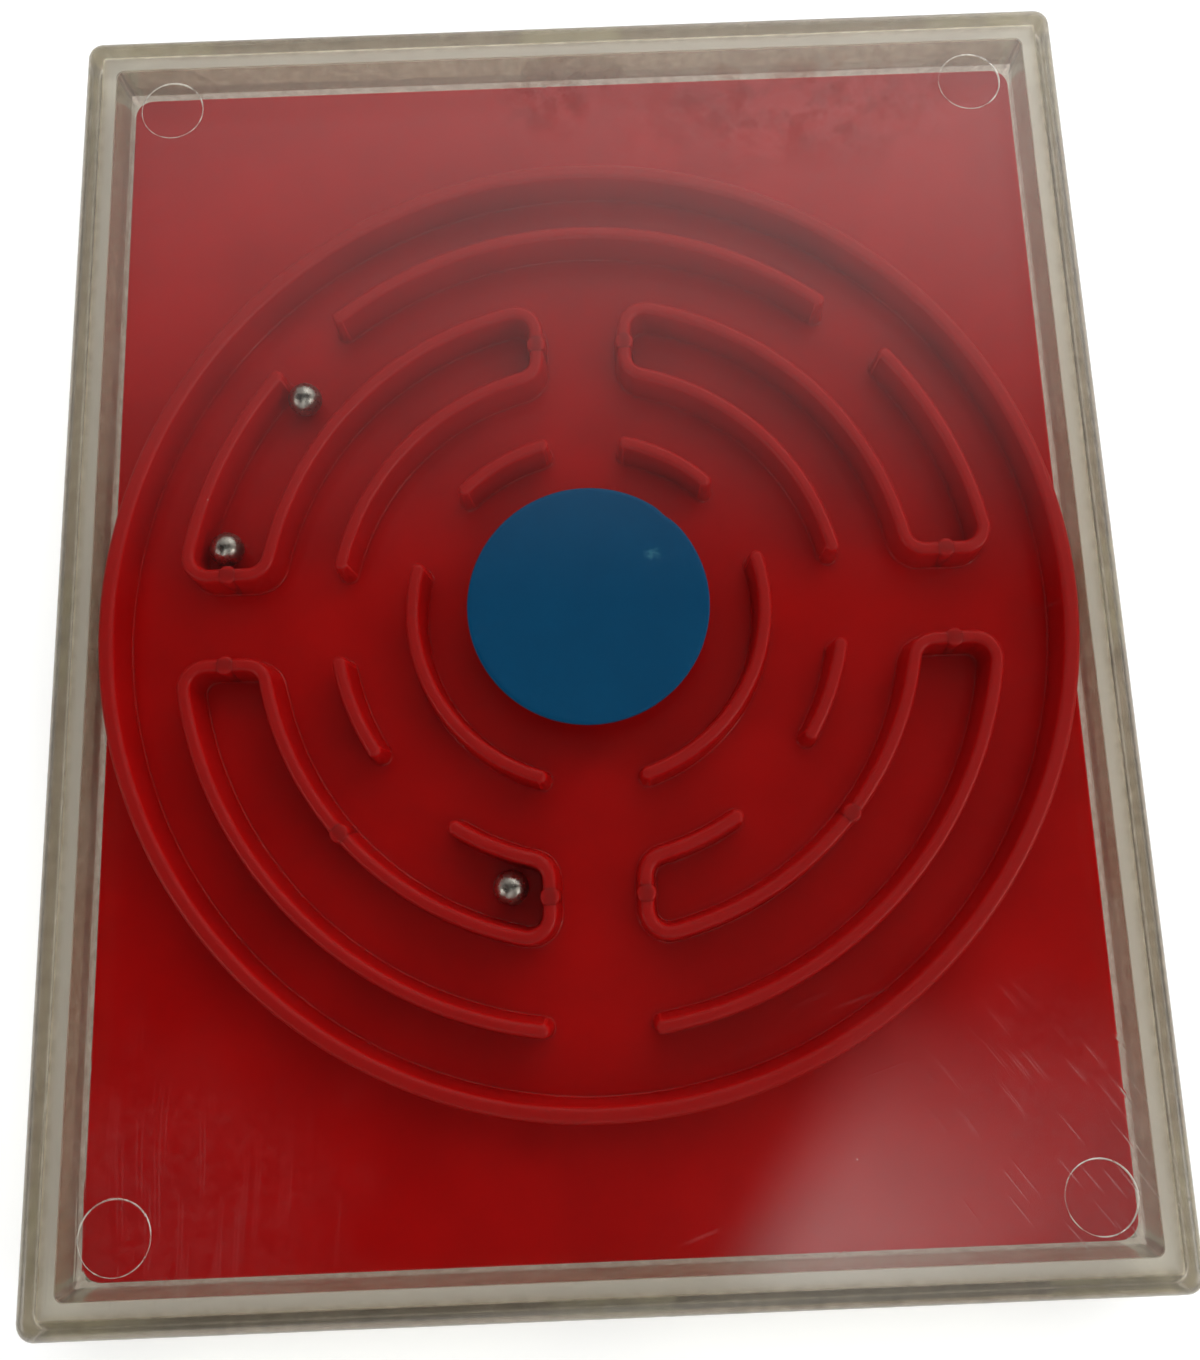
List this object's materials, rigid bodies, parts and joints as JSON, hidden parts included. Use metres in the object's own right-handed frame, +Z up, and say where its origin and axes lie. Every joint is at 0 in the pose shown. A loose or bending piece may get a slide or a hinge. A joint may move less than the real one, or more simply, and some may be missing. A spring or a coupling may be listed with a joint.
{
  "type": "ball maze puzzle",
  "caption": "Handheld ball maze: a clear two-part case holding a red plate with ring walls, loose steel balls and a round blue goal disc under the lid.",
  "frame": {"origin": "middle of the underside of the case, on the surface it lies on", "axes": "+X across the width, +Y along the length towards the top of the maze, +Z up out of the lid"},
  "size_m": [0.0962, 0.1186, 0.0097],
  "materials": {
    "clear_case": "clear moulded plastic, slightly yellowed and scratched",
    "maze_red": "glossy moulded red plastic",
    "ball_steel": "polished bearing steel",
    "disc_blue": "satin blue sheet plastic",
    "cement": "dried solvent cement, yellowed"
  },
  "bodies": {
    "case": {"base_tray": "clear_case", "lid": "clear_case", "maze_plate": "maze_red", "outer_ring_wall": "maze_red", "top_arc_wall": "maze_red", "upper_left_wall": "maze_red", "upper_right_wall": "maze_red", "lower_left_wall": "maze_red", "lower_right_wall": "maze_red", "short_arc_walls": "maze_red", "goal_ring_walls": "maze_red", "goal_disc": "disc_blue", "side_cement": "cement", "corner_cement": "cement"},
    "ball_1": {"steel_ball_1": "ball_steel"},
    "ball_2": {"steel_ball_2": "ball_steel"},
    "ball_3": {"steel_ball_3": "ball_steel"}
  },
  "joints": [
    {"name": "ball_1_roll", "type": "hinge", "parent": "case", "child": "ball_1", "pos_m": [0, 0, 0.00499], "axis": [0, 0, 1], "range_deg": [-128, 0]},
    {"name": "ball_2_roll", "type": "hinge", "parent": "case", "child": "ball_2", "pos_m": [0, 0, 0.00499], "axis": [0, 0, 1], "range_deg": [-21, 0]},
    {"name": "ball_3_roll", "type": "hinge", "parent": "case", "child": "ball_3", "pos_m": [0, 0, 0.00499], "axis": [0, 0, 1], "range_deg": [-146, 0]}
  ]
}
